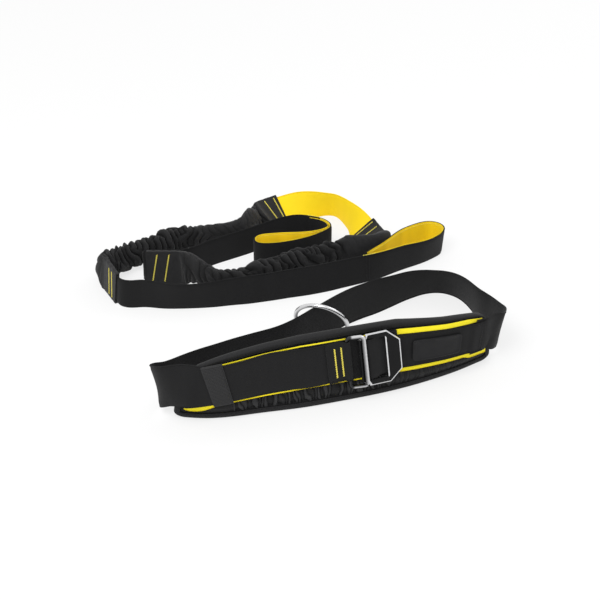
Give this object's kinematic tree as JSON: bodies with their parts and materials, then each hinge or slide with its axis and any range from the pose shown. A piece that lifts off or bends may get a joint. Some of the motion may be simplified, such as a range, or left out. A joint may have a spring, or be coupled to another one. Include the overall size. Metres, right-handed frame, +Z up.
{
  "type": "resistance sprint trainer",
  "caption": "Padded waist belt with a hook buckle and a gliding steel ring, beside a leash of gathered elastic sleeves that ends in lined hand loops.",
  "frame": {"origin": "centre of the bounding box's floor, on the surface that the set lies on", "axes": "+Z up from the floor; +Y away from the viewer, from the belt to the leash; +X to the viewer's right along the belt's pad"},
  "size_m": [0.4888, 0.4954, 0.0921],
  "materials": {
    "black_webbing": "plain woven polyester webbing, matte",
    "black_cloth": "thin woven cloth, matte",
    "edge_binding": "woven binding tape, matte",
    "yellow_webbing": "plain woven webbing, matte",
    "black_elastic": "ribbed elastic, matte",
    "pad_foam": "soft closed-cell foam, matte",
    "chrome": "bright nickel-chrome plating on steel",
    "black_steel": "satin black paint on stamped steel, its cut edges polished bright",
    "black_rubber": "moulded rubber, satin",
    "latex": "dipped latex, satin",
    "black_nylon": "moulded nylon, satin"
  },
  "bodies": {
    "belt": {"pad_foam": "pad_foam", "pad_front_cover": "black_cloth", "pad_back_cover": "black_cloth", "pad_edge_binding": "edge_binding", "yellow_backing_webbing": "yellow_webbing", "right_belt_webbing": "black_webbing", "rubber_patch": "black_rubber", "plate_loop_webbing": "black_webbing", "long_belt_strap": "black_webbing", "elastic_keeper": "black_elastic"},
    "buckle_plate": {"buckle_plate": "black_steel"},
    "buckle_frame": {"buckle_frame": "chrome"},
    "glide_ring": {"glide_ring": "chrome"},
    "leash": {"left_strap": "black_webbing", "right_strap": "black_webbing", "connector_webbing": "yellow_webbing", "left_sleeve": "black_cloth", "right_sleeve": "black_cloth", "left_tube": "latex", "right_tube": "latex", "left_rear_anchor": "black_nylon", "left_front_anchor": "black_nylon", "right_rear_anchor": "black_nylon", "right_front_anchor": "black_nylon", "left_handle_lining": "yellow_webbing", "right_handle_lining": "yellow_webbing"}
  },
  "joints": [
    {"name": "ring_glide", "type": "slide", "parent": "belt", "child": "glide_ring", "axis": [0.7001, 0.7141, 0], "range_m": [-0.035, 0.018]},
    {"name": "frame_lift", "type": "hinge", "parent": "belt", "child": "buckle_frame", "pos_m": [0.05905, -0.20196, 0.05495], "axis": [0.1106, -0.0539, -0.9924], "range_deg": [0, 100]},
    {"name": "plate_rock", "type": "hinge", "parent": "belt", "child": "buckle_plate", "pos_m": [0.08299, -0.19526, 0.05704], "axis": [0.1106, -0.0539, -0.9924], "range_deg": [0, 8]},
    {"name": "leash_lift", "type": "slide", "parent": "belt", "child": "leash", "axis": [0, 0, 1], "range_m": [0, 0.2]}
  ]
}
